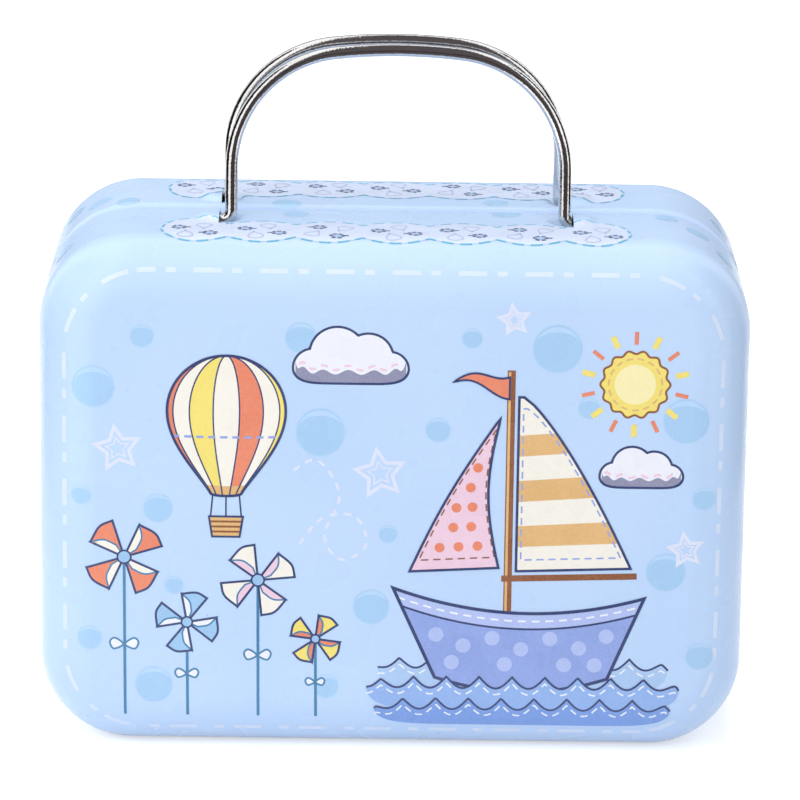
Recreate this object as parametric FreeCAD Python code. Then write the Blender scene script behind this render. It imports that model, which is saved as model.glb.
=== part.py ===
import FreeCAD, Part
import math
import os

V = FreeCAD.Vector

# Case of two equal drawn tin pans. X across, Y from front to rear, Z up.
# The origin is under the middle of the seam, on the face the case stands on.
case_width = 88.0
case_height = 65.3
half_depth = 21.3
corner_r = 11.5
face_edge_r = 7.2
tin = 0.28

# Rims: each pan's edge is rolled inward to a hem, and the two hems stop short of each other.
seam_gap = 0.2
rim_r = 1.7
hem_return = 1.4

# Collar welded in the rear rim, under the bowls; the front hem runs over it with its clearance.
collar_clear = 0.25
collar_under_bowl = 0.17
collar_reach = 3.2
collar_seat = 5.0

# Hinge: curled tongues of the two rims on a wire pin, at the bottom of the seam.
pin_r = 0.45
pin_clear = 0.05
hinge_x = 21.0
knuckle_len = 4.6
knuckle_gap = 0.2
notch_clear = 0.17
ground_clear = 0.02

# Bail handles of round wire, one on each pan, resting with their tops leaning to the seam.
# Each has slid sideways in its seats by its play, the front one to +X and the rear one to -X.
wire_r = 0.8
handle_y = 5.3
leg_x = 20.8
foot_bend_r = 1.3
foot_reach = 0.7
handle_rise = 21.63
shoulder_r = 14.5
crown_r = 69.0
front_lean = 8.0
rear_lean = 5.3
side_play = 0.2
wire_end_r = 0.25

# Lanced seat of a wire foot: half a low dome outside the slit, half a bowl inside it.
slit_out = 1.28
seat_r = 3.5
dome_height = 0.62
dome_flat_r = 1.4
dome_foot_r = 1.9
bowl_lip_r = 1.2
bowl_clear = 0.19
foot_clear = 0.12

# Values that follow from the ones above.
slit_x = leg_x + slit_out
bend_past_slit = foot_bend_r + side_play - slit_out
foot_top = foot_bend_r - math.sqrt((foot_bend_r - wire_r) ** 2 - bend_past_slit ** 2)
foot_drop = foot_top + foot_clear + tin - dome_height
foot_z = case_height - foot_drop
bowl_depth = foot_drop + wire_r + bowl_clear
rear_hem_width = bowl_depth + tin + collar_under_bowl
hem_width = rear_hem_width - collar_clear
knuckle_bore_r = pin_r + pin_clear
knuckle_r = knuckle_bore_r + tin
hinge_z = knuckle_r + ground_clear
notch_r = knuckle_r + notch_clear
hinge_len = 3 * knuckle_len + 2 * knuckle_gap


def outline(inset, y):
    """Rounded rectangle of the case, drawn in by inset, as a face at this y."""
    half_w = case_width / 2 - inset
    low = inset
    high = case_height - inset
    r = corner_r - inset
    k = r * (1 - math.sqrt(0.5))
    right = half_w - r
    top = high - r
    bottom = low + r
    p = [V(-right, y, low), V(right, y, low), V(half_w, y, bottom), V(half_w, y, top),
         V(right, y, high), V(-right, y, high), V(-half_w, y, top), V(-half_w, y, bottom)]
    mid = [V(half_w - k, y, low + k), V(half_w - k, y, high - k),
           V(-half_w + k, y, high - k), V(-half_w + k, y, low + k)]
    edges = []
    for i in range(4):
        a, b = p[2 * i], p[2 * i + 1]
        c = p[(2 * i + 2) % 8]
        edges.append(Part.LineSegment(a, b).toShape())
        edges.append(Part.Arc(b, mid[i], c).toShape())
    return Part.Face(Part.Wire(edges))


def block(inset, y0, y1):
    """Solid of the case outline, drawn in by inset, between two y planes."""
    return outline(inset, y0).extrude(V(0, y1 - y0, 0))


def ring(inset, y0, y1):
    """One tin thickness wide ring whose inner side is drawn in by inset."""
    return block(inset - tin, y0, y1).cut(block(inset, y0, y1))


def edges_at(solid, y):
    """Edges of a solid that lie in the plane of this y."""
    return [e for e in solid.Edges if abs(e.BoundBox.YMin - y) < 1e-6 and abs(e.BoundBox.YMax - y) < 1e-6]


def rounded_block(inset, rim_y, face_y, rim_round, face_round):
    """Block with its face edge and its rim edge rounded."""
    solid = block(inset, rim_y, face_y)
    solid = solid.makeFillet(face_round, edges_at(solid, face_y))
    return solid.makeFillet(rim_round, edges_at(solid, rim_y))


def pan(side, hem):
    """One drawn pan: side is -1 for the front and +1 for the rear, hem is its rim's width."""
    rim_y = side * seam_gap / 2
    face_y = side * half_depth
    outer = rounded_block(0, rim_y, face_y, rim_r, face_edge_r)
    inner = rounded_block(tin, rim_y + side * tin, face_y - side * tin, rim_r - tin, face_edge_r - tin)
    mouth = block(hem, rim_y - side, rim_y + side * 2)
    return outer.cut(inner).cut(mouth).fuse(ring(hem, rim_y, rim_y + side * hem_return))


def arc(centre, r, from_deg, to_deg):
    """Arc in the XZ plane about a centre (x, z)."""
    def point(deg):
        return V(centre[0] + r * math.cos(math.radians(deg)), 0, centre[1] + r * math.sin(math.radians(deg)))
    return Part.Arc(point(from_deg), point((from_deg + to_deg) / 2), point(to_deg)).toShape()


def pressed_half(flat_r, height, foot_r, upward):
    """Half of a pressed round form in the tin, spun about Z through the slit, on its -X side.

    The section is flat out to flat_r, then falls to the wall in two arcs that meet in a tangent.
    A form pressed upward has its height in the outside of the tin, one pressed downward its depth.
    """
    run = seat_r - flat_r
    reach = (run * run + height * height) / (2 * height)
    head_r = reach - foot_r
    turn = math.degrees(math.atan2(run, reach - height))
    sign = 1 if upward else -1
    head = (flat_r, sign * (height - head_r))
    foot = (seat_r, sign * foot_r)

    def side(offset):
        """Head arc and foot arc of one side of the tin, this far below the outside."""
        hr = head_r - sign * offset
        fr = foot_r + sign * offset
        return [arc(head, hr, sign * 90, sign * (90 - turn)), arc(foot, fr, sign * (270 - turn), sign * 270)]

    top = side(0)
    low = side(tin)
    high_out = V(0, 0, sign * height)
    high_in = V(0, 0, sign * height - tin)
    edges = top + low
    edges.append(Part.LineSegment(V(seat_r, 0, 0), V(seat_r, 0, -tin)).toShape())
    edges.append(Part.LineSegment(high_out, high_in).toShape())
    if flat_r > 0:
        edges.append(Part.LineSegment(high_out, V(flat_r, 0, high_out.z)).toShape())
        edges.append(Part.LineSegment(high_in, V(flat_r, 0, high_in.z)).toShape())
    section = Part.Face(Part.Wire(Part.__sortEdges__(edges)))
    section.rotate(V(0, 0, 0), V(0, 0, 1), 90)
    return section.revolve(V(0, 0, 0), V(0, 0, 1), 180)


def with_seats(shell, side):
    """The pan with its two lanced seats in the top wall."""
    dome = pressed_half(dome_flat_r, dome_height, dome_foot_r, True)
    bowl = pressed_half(0, bowl_depth, bowl_lip_r, False)
    bowl.rotate(V(0, 0, 0), V(0, 0, 1), 180)
    for hand in (-1, 1):
        place = V(hand * slit_x, side * handle_y, case_height)
        hole = Part.makeCylinder(seat_r, 4 * tin, place - V(0, 0, 2 * tin))
        shell = shell.cut(hole)
        for form in (dome, bowl):
            piece = form.copy()
            if hand > 0:
                piece.rotate(V(0, 0, 0), V(0, 0, 1), 180)
            piece.translate(place)
            shell = shell.fuse(piece)
    return shell


def along_x(r, x0, x1):
    """Cylinder on the hinge axis."""
    return Part.makeCylinder(r, x1 - x0, V(x0, 0, hinge_z), V(1, 0, 0))


def knuckle_spans(centre, side):
    """X spans of the tongues of one pan in a hinge: the rear pan has the outer two, the front the middle."""
    start = centre - hinge_len / 2
    step = knuckle_len + knuckle_gap
    return [(start + i * step, start + i * step + knuckle_len) for i in ((0, 2) if side > 0 else (1,))]


def with_hinges(shell, side):
    """The pan with its rim cut back round the hinges and its tongues curled round the pins."""
    for hand in (-1, 1):
        centre = hand * hinge_x
        x0 = centre - hinge_len / 2 - knuckle_gap
        x1 = centre + hinge_len / 2 + knuckle_gap
        shell = shell.cut(along_x(notch_r, x0, x1))
        for a, b in knuckle_spans(centre, side):
            y0 = side * seam_gap / 2
            foot = hinge_z + knuckle_bore_r
            web = Part.makeBox(b - a, tin, rim_r + tin - foot, V(a, min(y0, y0 + side * tin), foot))
            shell = shell.fuse(along_x(knuckle_r, a, b)).fuse(web)
        shell = shell.cut(along_x(knuckle_bore_r, x0, x1))
    return shell


def rod(points):
    """Round wire through straight and bent lengths: each step is (start, end) or (start, middle, end)."""
    edges = []
    for step in points:
        if len(step) == 2:
            edges.append(Part.LineSegment(*step).toShape())
        else:
            edges.append(Part.Arc(*step).toShape())
    path = Part.Wire(edges)
    start = points[0][0]
    along = edges[0].tangentAt(edges[0].FirstParameter)
    circle = Part.Wire(Part.makeCircle(wire_r, start, along))
    solid = path.makePipeShell([circle], True, True)
    ends = [e for e in solid.Edges if abs(e.BoundBox.XLength) < 1e-6]
    return solid.makeFillet(wire_end_r, ends)


def bail():
    """Wire handle standing upright on its pivot axis: feet, legs, shoulder bends and a low crown."""
    foot_x = leg_x + foot_bend_r
    # The shoulder bend touches the leg and the crown bend; its centre follows from both.
    hub_x = leg_x - shoulder_r
    hub_fall = math.sqrt((crown_r - shoulder_r) ** 2 - hub_x ** 2)
    hub_z = handle_rise - crown_r + hub_fall
    lean = math.asin(hub_x / (crown_r - shoulder_r))

    def shoulder(angle):
        return V(hub_x + shoulder_r * math.sin(angle), 0, hub_z + shoulder_r * math.cos(angle))

    def bend(angle):
        return V(foot_x - foot_bend_r * math.sin(angle), 0, foot_bend_r - foot_bend_r * math.cos(angle))

    half = [(V(foot_x + foot_reach, 0, 0), V(foot_x, 0, 0)),
            (bend(0), bend(math.pi / 4), bend(math.pi / 2)),
            (bend(math.pi / 2), shoulder(math.pi / 2)),
            (shoulder(math.pi / 2), shoulder((math.pi / 2 + lean) / 2), shoulder(lean))]
    crown = (shoulder(lean), V(0, 0, handle_rise), V(-shoulder(lean).x, 0, shoulder(lean).z))
    other = [tuple(V(-p.x, 0, p.z) for p in reversed(step)) for step in reversed(half)]
    return rod(half + [crown] + other)


def handle(side, lean):
    """The bail in its place on one pan, leaning to the seam."""
    wire = bail()
    wire.rotate(V(0, 0, 0), V(1, 0, 0), side * lean)
    wire.translate(V(-side * side_play, side * handle_y, foot_z))
    return wire


def hinge_pin(hand):
    """Plain wire pin through the three tongues of a hinge."""
    x0 = hand * hinge_x - hinge_len / 2
    return along_x(pin_r, x0, x0 + hinge_len)


os.makedirs("parts", exist_ok=True)
nodes = {
    "front_shell": with_hinges(with_seats(pan(-1, hem_width), -1), -1),
    "rear_shell": with_hinges(with_seats(pan(1, rear_hem_width), 1), 1),
    "closing_collar": ring(rear_hem_width + tin, -collar_reach, collar_seat),
    "left_hinge_pin": hinge_pin(-1),
    "right_hinge_pin": hinge_pin(1),
    "front_handle": handle(-1, front_lean),
    "rear_handle": handle(1, rear_lean),
}
for name, shape in nodes.items():
    solid = shape.removeSplitter().Solids[0]
    solid.exportStep("parts/" + name + ".step")
    print(name, len(shape.Solids), "solid", solid.isValid(), round(solid.Volume, 2), "mm3")
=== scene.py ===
import math

import bmesh
import bpy
import numpy as np
from mathutils import Matrix, Vector


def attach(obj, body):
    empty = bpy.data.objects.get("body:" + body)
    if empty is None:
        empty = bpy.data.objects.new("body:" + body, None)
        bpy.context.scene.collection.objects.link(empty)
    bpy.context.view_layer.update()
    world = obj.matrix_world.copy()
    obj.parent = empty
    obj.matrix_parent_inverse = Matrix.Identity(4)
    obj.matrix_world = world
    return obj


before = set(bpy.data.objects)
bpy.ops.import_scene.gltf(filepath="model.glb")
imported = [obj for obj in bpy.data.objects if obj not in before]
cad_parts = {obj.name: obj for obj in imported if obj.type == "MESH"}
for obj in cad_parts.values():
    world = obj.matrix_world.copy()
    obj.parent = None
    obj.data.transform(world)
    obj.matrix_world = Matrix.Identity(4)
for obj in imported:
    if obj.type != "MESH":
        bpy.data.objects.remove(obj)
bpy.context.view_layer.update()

# Rear pan. Half of the case, drawn from one sheet of tinplate, its rim rolled inward to a hem.
# The outside is printed pale blue under clear lacquer; the inside is the bare rolled tin.
mm = 0.001
case_height = 65.3
pan_middle_depth = 10.0
printed_blue = (195, 220, 253)
printed_blue_shade = (191, 217, 252)
blotch_size = 22.0
# Painted shade: a darker lilac laid over the blue close to the seam, where the two rims meet in a groove.
seam_shade_lilac = (187, 205, 246)
seam_shade_share = 0.8
seam_shade_full, seam_shade_end = 0.2, 1.4
speck_grey = (150, 168, 205)
speck_strength = 0.55
speck_pitch = 5.5
speck_reach = 0.024
speckless = 0.8
bare_tin = (196, 195, 190)
bare_tin_dull = (172, 172, 170)
rolling_line = 0.22
rolling_stretch = (0.03, 1.0, 1.0)
rolled_rough = (0.28, 0.46)
lacquer = {"Coat_Weight": 0.1, "Coat_Roughness": 0.12, "Specular_IOR_Level": 0.3}
lacquer_rough = (0.24, 0.34)
lacquer_haze = 6.0
peel_size = 0.9
peel_strength = 0.02
peel_depth = 0.02


def tone(colour):
    """Linear colour, with its alpha, of an 8-bit screen colour."""
    c = np.asarray(colour, float) / 255
    c = np.where(c <= 0.04045, c / 12.92, ((c + 0.055) / 1.055) ** 2.4)
    return (*c.tolist(), 1.0)


def add(tree, kind, inputs, **settings):
    """Adds a shader node; each input, by name or place, gets a value or a link from another socket."""
    node = tree.nodes.new(kind)
    for key, value in settings.items():
        setattr(node, key, value)
    for key, value in inputs.items():
        if isinstance(value, bpy.types.NodeSocket):
            tree.links.new(value, node.inputs[key])
        else:
            node.inputs[key].default_value = value
    return node


def finish(name, **sockets):
    """A new material with its shader's plain sockets set; returns it, its nodes and its shader."""
    material = bpy.data.materials.new(name)
    material.use_nodes = True
    tree = material.node_tree
    shader = tree.nodes["Principled BSDF"]
    for key, value in sockets.items():
        shader.inputs[key.replace("_", " ")].default_value = value
    return material, tree, shader


def noise(tree, place, size, detail=2.0):
    """Noise whose blotches are about size mm across, from 0 to 1."""
    inputs = {"Vector": place, "Scale": 1 / (size * mm), "Detail": detail}
    return add(tree, "ShaderNodeTexNoise", inputs).outputs[0]


def between(tree, low, high, value):
    """Maps a value of about 0.3 to 0.7, as noise has, to a number between low and high, in a soft step."""
    inputs = {"Value": value, "From Min": 0.3, "From Max": 0.7, "To Min": low, "To Max": high}
    return add(tree, "ShaderNodeMapRange", inputs, interpolation_type="SMOOTHSTEP").outputs[0]


def mix(tree, share, first, second):
    """First colour where share is 0 and second where it is 1."""
    node = add(tree, "ShaderNodeMix", {"Factor": share}, data_type="RGBA")
    for socket, value in ((node.inputs[6], first), (node.inputs[7], second)):
        if isinstance(value, bpy.types.NodeSocket):
            tree.links.new(value, socket)
        else:
            socket.default_value = tone(value)
    return node.outputs[2]


def sums(tree, kind, *values):
    """One step of arithmetic on numbers."""
    return add(tree, "ShaderNodeMath", dict(enumerate(values)), operation=kind).outputs[0]


def printed_tin(name, middle):
    """Printed and lacquered tinplate outside, bare tin where a face looks towards the pan's middle.

    A face is outside where its normal points away from the middle. The print is a soft mottle of two
    blues with few fine specks, and painted shade in lilac by the seam; the bare side has fine rolling lines
    along X.
    A speck's reach is a share of the pitch; speckless is the share of places that have none.
    """
    material, tree, shader = finish(name, **lacquer)
    coords = add(tree, "ShaderNodeTexCoord", {})
    place = coords.outputs["Object"]
    arm = add(tree, "ShaderNodeVectorMath", {0: place, 1: middle}, operation="SUBTRACT").outputs[0]
    facing = add(tree, "ShaderNodeVectorMath", {0: arm, 1: coords.outputs["Normal"]}, operation="DOT_PRODUCT")
    outside = sums(tree, "GREATER_THAN", facing.outputs["Value"], 0.0)

    blotch = between(tree, 0.0, 1.0, noise(tree, place, blotch_size, detail=0.0))
    blue = mix(tree, blotch, printed_blue, printed_blue_shade)
    depth = add(tree, "ShaderNodeSeparateXYZ", {0: place}).outputs["Y"]
    # Painted shade of the seam groove: the blue turns to a darker lilac within about a millimetre of the
    # seam.
    seam_shade_inputs = {"Value": sums(tree, "ABSOLUTE", depth), "From Min": seam_shade_full * mm,
                  "From Max": seam_shade_end * mm, "To Min": seam_shade_share, "To Max": 0.0}
    seam_shade = add(tree, "ShaderNodeMapRange", seam_shade_inputs).outputs[0]
    blue = mix(tree, seam_shade, blue, seam_shade_lilac)
    cells = add(tree, "ShaderNodeTexVoronoi", {"Vector": place, "Scale": 1 / (speck_pitch * mm)})
    near = sums(tree, "LESS_THAN", cells.outputs["Distance"], speck_reach)
    draw = add(tree, "ShaderNodeSeparateColor", {0: cells.outputs["Color"]}).outputs[0]
    few = sums(tree, "GREATER_THAN", draw, speckless)
    speck = sums(tree, "MULTIPLY", sums(tree, "MULTIPLY", near, few), speck_strength)
    blue = mix(tree, speck, blue, speck_grey)

    rolled = add(tree, "ShaderNodeMapping", {"Vector": place, "Scale": rolling_stretch}).outputs[0]
    lines = noise(tree, rolled, rolling_line, detail=3.0)
    grey = mix(tree, between(tree, 0.0, 1.0, lines), bare_tin, bare_tin_dull)
    tree.links.new(mix(tree, outside, grey, blue), shader.inputs["Base Color"])
    tree.links.new(sums(tree, "SUBTRACT", 1.0, outside), shader.inputs["Metallic"])
    peel = noise(tree, place, peel_size)
    gloss = between(tree, *lacquer_rough, noise(tree, place, lacquer_haze))
    brushed = between(tree, *rolled_rough, lines)
    rough = add(tree, "ShaderNodeMix", {0: outside, 2: brushed, 3: gloss}).outputs[0]
    tree.links.new(rough, shader.inputs["Roughness"])
    bump_inputs = {"Height": peel, "Strength": peel_strength, "Distance": peel_depth * mm}
    bump = add(tree, "ShaderNodeBump", bump_inputs).outputs[0]
    tree.links.new(bump, shader.inputs["Normal"])
    return material


def dress(node, material):
    """Gives a solid of the frame its finish."""
    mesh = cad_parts[node].data
    mesh.materials.clear()
    mesh.materials.append(material)


dress("rear_shell", printed_tin("rear_printed_tin", (0, pan_middle_depth * mm, case_height / 2 * mm)))

# Closing collar. A plain tin strip bent to the case outline and welded inside the rear rim.
# The front rim slips over it; its tin is left bare, with a trace of gold lacquer.
collar_tin = (206, 200, 182)
collar_dull = (184, 178, 164)
line_strength = 0.08
line_depth = 0.02


def rolled_metal(name, bright, dull, line_size, low_rough, high_rough, stretch):
    """Bare metal with fine drawn lines: noise stretched along one axis sets colour and roughness."""
    material, tree, shader = finish(name, Metallic=1.0)
    place = add(tree, "ShaderNodeTexCoord", {}).outputs["Object"]
    drawn = add(tree, "ShaderNodeMapping", {"Vector": place, "Scale": stretch}).outputs[0]
    lines = noise(tree, drawn, line_size, detail=3.0)
    tree.links.new(mix(tree, between(tree, 0.0, 1.0, lines), bright, dull), shader.inputs["Base Color"])
    tree.links.new(between(tree, low_rough, high_rough, lines), shader.inputs["Roughness"])
    bump_inputs = {"Height": lines, "Strength": line_strength, "Distance": line_depth * mm}
    bump = add(tree, "ShaderNodeBump", bump_inputs).outputs[0]
    tree.links.new(bump, shader.inputs["Normal"])
    return material


collar_metal = rolled_metal("collar_tin", collar_tin, collar_dull, line_size=0.25, low_rough=0.26,
                            high_rough=0.42, stretch=(1.0, 0.04, 1.0))
dress("closing_collar", collar_metal)

# Hinge pins. Two cut lengths of zinc-plated wire through the curled tongues of the rims.
# They turn in the tongues with a little play, and only their ends show.
pin_bright = (176, 176, 178)
pin_dull = (128, 128, 132)
pin_metal = rolled_metal("pin_wire", pin_bright, pin_dull, line_size=0.15, low_rough=0.3,
                         high_rough=0.5, stretch=(0.05, 1.0, 1.0))
for pin in ("left_hinge_pin", "right_hinge_pin"):
    dress(pin, pin_metal)

# Front pan. The same drawing in tinplate as the rear one, turned to face it and finished alike.
# Its rolled rim closes over the collar, and its hinge tongues share the pins at the bottom seam.
dress("front_shell", printed_tin("front_printed_tin", (0, -pan_middle_depth * mm, case_height / 2 * mm)))

# Stitched border. White dashes, long and short in turn, printed round each pan on its rounded edge.
# Every print from here on is a thin film of ink laid on the tin, on both pans.
half_width = 44.0
half_depth = 21.3
corner_r = 11.5
edge_r = 7.2
first_lift = 0.01
ink_step = 0.002
border_half_x = 40.5
border_half_z = 29.5
border_r = 10.2
border_shift = (-0.1, -0.07)
stitch_width = 0.55
stitch_pair = ((0.0, 1.25), (2.5, 5.95))
stitch_period = 8.11
corner_stitches = ((-5.7, -2.2), (0.15, 1.3), (2.45, 5.85))
pairs_across, across_start, across_end = 8, -30.0, 31.6
pairs_up, up_start = 5, -19.45
stitch_white = (215, 230, 255)
mitre_limit = 0.2
turn_points = 1441
weld = 1e-4
ink_contrast = 0.6
ink_lay_size = 5.0
ink_lay_share = 0.4


def on_face(sheet, lift):
    """Lays points of the print sheet, seen from the front as (x, z), on the pan's outside.

    The tin is flat where the case outline is more than edge_r away and falls off in a quarter round
    nearer to it. Lift raises the points along the outward normal.
    """
    x, z = sheet[..., 0], sheet[..., 1] - case_height / 2
    over_x = np.abs(x) - (half_width - corner_r)
    over_z = np.abs(z) - (case_height / 2 - corner_r)
    corner = np.hypot(np.maximum(over_x, 0), np.maximum(over_z, 0))
    inset = corner_r - corner - np.minimum(np.maximum(over_x, over_z), 0)
    in_corner = corner > 0
    away_x = np.where(in_corner, np.maximum(over_x, 0) / np.where(in_corner, corner, 1), over_x > over_z)
    away_z = np.where(in_corner, np.maximum(over_z, 0) / np.where(in_corner, corner, 1), over_x <= over_z)
    lean = np.clip((edge_r - inset) / edge_r, 0, 1)
    face = np.sqrt(1 - lean ** 2)
    depth = half_depth - edge_r + edge_r * face
    normal = np.stack((away_x * np.sign(x) * lean, -face, away_z * np.sign(z) * lean), -1)
    return np.stack((x, -depth, sheet[..., 1]), -1) + lift * normal


def ink(name, colour, grain=0.05, size=0.3):
    """Printing ink under the tin's lacquer: its colour in a fine stipple and a broad uneven lay."""
    material, tree, shader = finish(name, **lacquer)
    place = add(tree, "ShaderNodeTexCoord", {}).outputs["Object"]
    stipple = between(tree, 0.0, 1.0, noise(tree, place, size, detail=1.0))
    lay = between(tree, 0.0, 1.0, noise(tree, place, ink_lay_size))
    dark = tuple(c * (1 - ink_contrast * grain) for c in colour)
    light = tuple(c + (255 - c) * ink_contrast * grain for c in colour)
    share = add(tree, "ShaderNodeMix", {0: ink_lay_share, 2: stipple, 3: lay}).outputs[0]
    tree.links.new(mix(tree, share, dark, light), shader.inputs["Base Color"])
    tree.links.new(between(tree, *lacquer_rough, lay), shader.inputs["Roughness"])
    return material


def printed(name, layers, lay=on_face, under=0, pans=("front", "rear"), torn=None):
    """Prints a motif on the pans, one film of ink for each layer, in printing order.

    A layer is an ink and grids of sheet points; along a grid's first side and then its second is
    counter-clockwise seen from outside. Under is how many films lie below the first one, and torn finds
    the cells where the tin is cut through. The rear pan's print is the front one turned half round.
    """
    for pan in pans:
        turn = 1 if pan == "front" else -1
        points, quads, marks = [], [], []
        inks = []
        start = 0
        for order, (colour, grid) in enumerate(layers):
            rows, columns = grid.shape[-3:-1]
            laid = lay(grid, first_lift + (under + order) * ink_step).reshape(-1, 3) * mm
            laid[:, :2] *= turn
            at = np.arange(len(laid)).reshape(-1, rows, columns) + start
            cell = np.stack((at[:, :-1, :-1], at[:, 1:, :-1], at[:, 1:, 1:], at[:, :-1, 1:]), -1)
            cell = cell.reshape(-1, 4)
            if torn:
                cell = cell[~torn(grid.reshape(-1, 2)[cell - start])]
            if colour not in inks:
                inks.append(colour)
            points.append(laid)
            quads.append(cell)
            marks.append(np.full(len(cell), inks.index(colour)))
            start += len(laid)
        mesh = bpy.data.meshes.new(f"{pan}_{name}")
        mesh.from_pydata(np.concatenate(points).tolist(), [], np.concatenate(quads).tolist())
        mesh.polygons.foreach_set("material_index", np.concatenate(marks).astype(np.int32))
        for colour in inks:
            mesh.materials.append(colour)
        welded = bmesh.new()
        welded.from_mesh(mesh)
        bmesh.ops.remove_doubles(welded, verts=welded.verts, dist=weld * mm)
        welded.to_mesh(mesh)
        welded.free()
        mesh.shade_smooth()
        piece = bpy.data.objects.new(f"{pan}_{name}", mesh)
        bpy.context.scene.collection.objects.link(piece)
        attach(piece, f"{pan}_half")


def lengths(path):
    """Distance along a path of points at each of them."""
    step = np.hypot(*np.diff(path, axis=0).T)
    return np.concatenate(([0.0], np.cumsum(step)))


def round_rectangle(half_x, half_z, radius):
    """Rounded rectangle about the face's middle, from the right side's upper end, counter-clockwise.

    Each quarter turn is an arc about its own corner's centre; the jumps between them are the sides.
    """
    turn = np.linspace(0, 2 * np.pi, turn_points)
    across, up = np.cos(turn), np.sin(turn)
    x = np.where(across >= 0, 1, -1) * (half_x - radius) + radius * across
    z = np.where(up >= 0, 1, -1) * (half_z - radius) + radius * up
    path = np.stack((x, z + case_height / 2), -1)
    return np.concatenate((path, path[:1]))


def outline(inset):
    """The case outline drawn in by inset."""
    return round_rectangle(half_width - inset, case_height / 2 - inset, corner_r - inset)


def cut(path, spans, points=9):
    """Pieces of a path between the two lengths of each span."""
    run = lengths(path)
    begin, end = np.asarray(spans, float).T[..., None]
    at = begin + (end - begin) * np.linspace(0, 1, points)
    return np.stack((np.interp(at, run, path[:, 0]), np.interp(at, run, path[:, 1])), -1)


def dashes(path, dash, gap):
    """Cuts a path into dashes, eased to whole repeats."""
    whole = lengths(path)[-1]
    count = max(1, round(whole / (dash + gap)))
    begin = np.arange(count) * whole / count
    return cut(path, np.stack((begin, begin + dash / (dash + gap) * whole / count), -1))


def border_stitches():
    """Begin and end of each stitch along the border: three about each corner's middle, then pairs of a
    short and a long one on each side, which run round the case on the long sides and up both short ones.
    """
    quarter = border_r * np.pi / 2
    long_side, short_side = 2 * (border_half_x - border_r), 2 * (border_half_z - border_r)
    corner, pair = np.array(corner_stitches), np.array(stitch_pair)
    across = (across_start + stitch_period * np.arange(pairs_across)[:, None, None] + pair).reshape(-1, 2)
    across = np.minimum(across, across_end)
    up = (up_start + stitch_period * np.arange(pairs_up)[:, None, None] + pair).reshape(-1, 2)
    half_round = 2 * quarter + long_side + short_side
    first_half = [corner + quarter / 2, across + quarter + long_side / 2,
                  corner + 1.5 * quarter + long_side, -up[:, ::-1] + half_round - short_side / 2]
    other_half = first_half[:3] + [up + half_round - short_side / 2]
    return np.concatenate(first_half + [spans + half_round for spans in other_half])


def stroke(path, width):
    """A line of ink: each path is widened by half its width to both sides, with mitred corners.

    A point moves along the sum of the normals of the two runs that meet there, over one plus their dot
    product. The ends of a closed path share theirs.
    """
    run = np.diff(path, axis=-2)
    run = run / np.maximum(np.linalg.norm(run, axis=-1, keepdims=True), 1e-9)
    normal = np.stack((-run[..., 1], run[..., 0]), -1)
    before = np.concatenate((normal[..., :1, :], normal), -2)
    after = np.concatenate((normal, normal[..., -1:, :]), -2)
    if np.allclose(path[..., 0, :], path[..., -1, :]):
        before[..., 0, :] = normal[..., -1, :]
        after[..., -1, :] = normal[..., 0, :]
    turn = np.sum(before * after, axis=-1, keepdims=True)
    left = (before + after) / np.maximum(1 + turn, mitre_limit) * width / 2
    return np.stack((path - left, path + left), -2)


stitch_ink = ink("stitch_white", stitch_white, grain=0.02)
border = round_rectangle(border_half_x, border_half_z, border_r) + border_shift
printed("stitched_border", [(stitch_ink, stroke(cut(border, border_stitches()), stitch_width))])

# Lace strips. A scalloped band along each pan's top, white with a dashed teal edge, printed so that it
# runs from the flat wall on to the rounded edge; small ring flowers and drops fill its scallops.
# The rear pan's strip lies nearer to the seam.
scallops = 7
scallop_pitch = 8.3
scallop_fullness = 0.8
scallop_steps = 20
lace_middle = -12.4
lace_waist = 2.9
lace_rise = 1.7
lace_drop = 1.3
end_scallop_rise = 1.15
rear_lace_shift = 2.4
seat_x = 22.08
seat_y = -5.3
seat_r = 3.5
dome_height = 0.62
dome_flat_r = 1.4
dome_foot_r = 1.9
bowl_depth = 1.621
bowl_lip_r = 1.2
group_turn = np.radians((0, 9, -27, 18, 2, -23, 10))
flower_places = ((-1.95, 1.1), (1.95, -1.55))
drop_places = ((1.1, 1.7), (-1.1, -1.9))
flower_r = 0.74
flower_dash, flower_gap, flower_line = 0.55, 0.22, 0.48
tail_start, tail_length, tail_line = 0.1, 0.7, 0.38
tail_side = np.array((1, 1, -1, 1, 1, -1, 1))[:, None]
drop_half = (0.95, 1.3)
drop_widen = 1.54
drop_line = 0.2
edge_dash, edge_gap, edge_line = 1.5, 0.8, 0.32
slit_edge = 1e-4
seat_films = 10
lace_white = (214, 226, 252)
lace_teal = (98, 184, 216)
lace_slate = (62, 78, 116)
lace_lilac = (184, 192, 226)
lace_blue = (176, 198, 236)


def pressed(distance, flat_r, height, foot_r):
    """Height of a round pressed form over the wall: flat, then two arcs that meet in a tangent."""
    run = seat_r - flat_r
    reach = (run * run + height * height) / (2 * height)
    head_r = reach - foot_r
    bend = flat_r + head_r * math.sin(math.atan2(run, reach - height))
    head = height - head_r + np.sqrt(np.maximum(head_r ** 2 - np.maximum(distance - flat_r, 0) ** 2, 0))
    foot = foot_r - np.sqrt(np.maximum(foot_r ** 2 - (seat_r - distance) ** 2, 0))
    return np.where(distance >= seat_r, 0, np.where(distance < bend, head, foot))


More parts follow.
